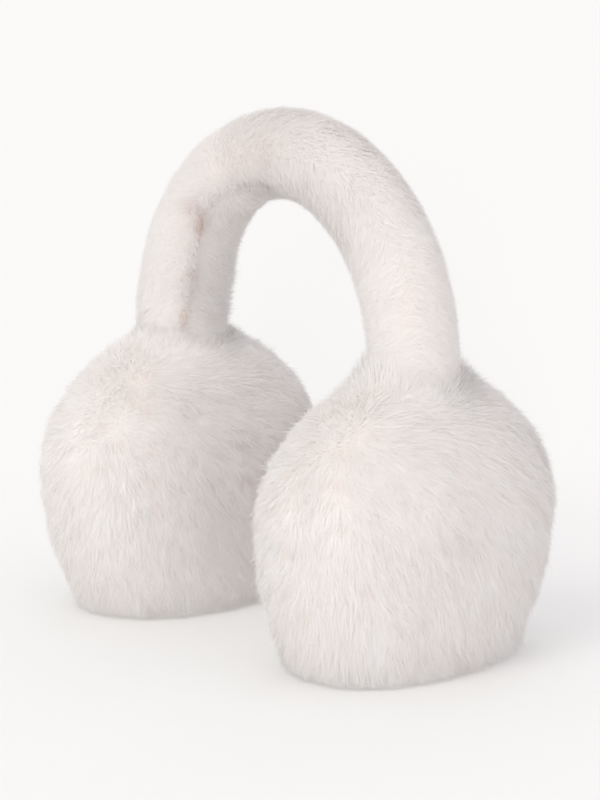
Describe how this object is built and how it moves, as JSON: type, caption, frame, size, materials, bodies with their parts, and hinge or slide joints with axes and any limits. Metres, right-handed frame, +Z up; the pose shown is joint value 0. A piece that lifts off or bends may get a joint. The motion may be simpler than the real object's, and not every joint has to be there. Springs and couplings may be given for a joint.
{
  "type": "fur earmuffs",
  "caption": "Plush fur earmuffs: a padded fur headband arched over deep oval fur ear cups that stand on flat feet, with a seam along the band's inner side.",
  "frame": {"origin": "on the floor, midway between the two cups and midway front to back", "axes": "+Z up; X across the head, the wearer's left cup at +X; the wearer looks along -Y"},
  "size_m": [0.246, 0.149, 0.2309],
  "materials": {
    "ivory_fur": "deep matt pile, ivory with a faint pink cast",
    "tan_backing": "matt sewn backing"
  },
  "bodies": {
    "root": {"headband": "ivory_fur", "ear_cup_left": "ivory_fur", "ear_cup_right": "ivory_fur", "band_seam": "tan_backing"}
  },
  "joints": []
}
